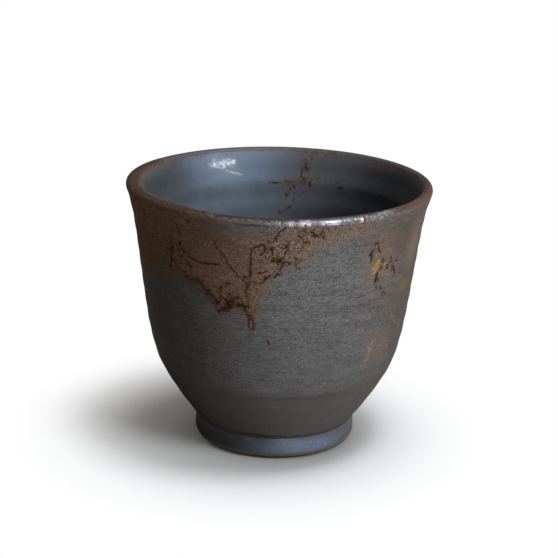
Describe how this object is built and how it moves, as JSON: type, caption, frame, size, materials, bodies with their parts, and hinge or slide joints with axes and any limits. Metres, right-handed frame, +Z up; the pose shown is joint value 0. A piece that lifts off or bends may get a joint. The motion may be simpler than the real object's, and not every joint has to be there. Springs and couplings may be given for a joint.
{
  "type": "tea cup",
  "caption": "Tall handleless stoneware tea cup with a flared rounded lip, a bowl-shaped inside and a narrow foot ring, in a dark matte glaze with rusty iron splashes.",
  "frame": {"origin": "centre of the foot ring's land, on the surface the cup stands on", "axes": "+Z up along the cup's axis, -Y towards the side with the wide iron splash"},
  "size_m": [0.0854, 0.0854, 0.075],
  "materials": {
    "stoneware": "bare, rough, dark brown",
    "outer_glaze": "matte, with fine turning lines",
    "rim_glaze": "semi-gloss, breaking to brown",
    "inner_glaze": "glossy",
    "foot_glaze": "semi-gloss",
    "iron_splash": "rough, rusty"
  },
  "bodies": {
    "root": {"clay_body": "stoneware", "foot_ring": "stoneware", "outer_glaze": "outer_glaze", "rim_glaze": "rim_glaze", "inner_glaze": "inner_glaze", "foot_glaze": "foot_glaze", "base_glaze": "foot_glaze", "iron_splash_front": "iron_splash", "iron_splash_side": "iron_splash", "iron_splash_inside": "iron_splash"}
  },
  "joints": []
}
